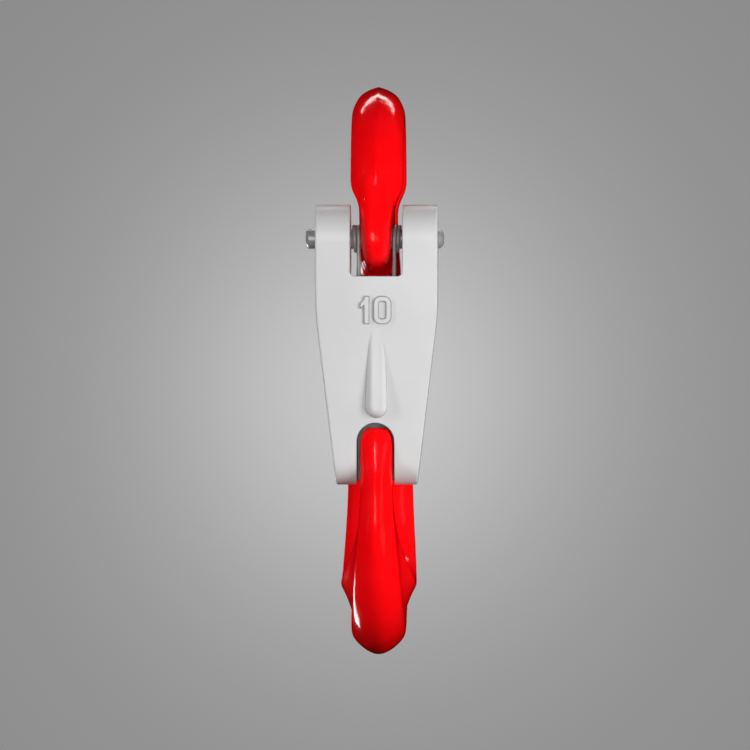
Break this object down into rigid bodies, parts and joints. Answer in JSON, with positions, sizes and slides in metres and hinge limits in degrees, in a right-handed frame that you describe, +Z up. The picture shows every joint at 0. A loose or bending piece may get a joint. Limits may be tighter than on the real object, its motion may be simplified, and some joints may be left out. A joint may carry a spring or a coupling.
{
  "type": "eye sling hook with safety latch",
  "caption": "Forged eye sling hook for lifting chain, with a cast safety latch that a torsion spring holds shut against the hook tip.",
  "frame": {"origin": "centre of the eye bore", "axes": "+Z up from the bowl to the eye, X along the eye bore and the latch pin, -Y out of the hook's mouth"},
  "size_m": [0.0421, 0.0815, 0.1739],
  "materials": {
    "red_coat": "gloss",
    "latch_steel": "satin",
    "pin_steel": "satin",
    "spring_steel": "satin"
  },
  "bodies": {
    "hook": {"hook_body": "red_coat", "latch_pin": "pin_steel", "latch_spring": "spring_steel"},
    "latch": {"safety_latch": "latch_steel"}
  },
  "joints": [
    {"name": "latch_hinge", "type": "hinge", "parent": "hook", "child": "latch", "pos_m": [0, -0.027, -0.0148], "axis": [1, 0, 0], "range_deg": [0, 28], "stiffness_Nm_per_rad": 0.15, "springref_deg": -68.75, "deforming": ["latch_spring"]}
  ]
}
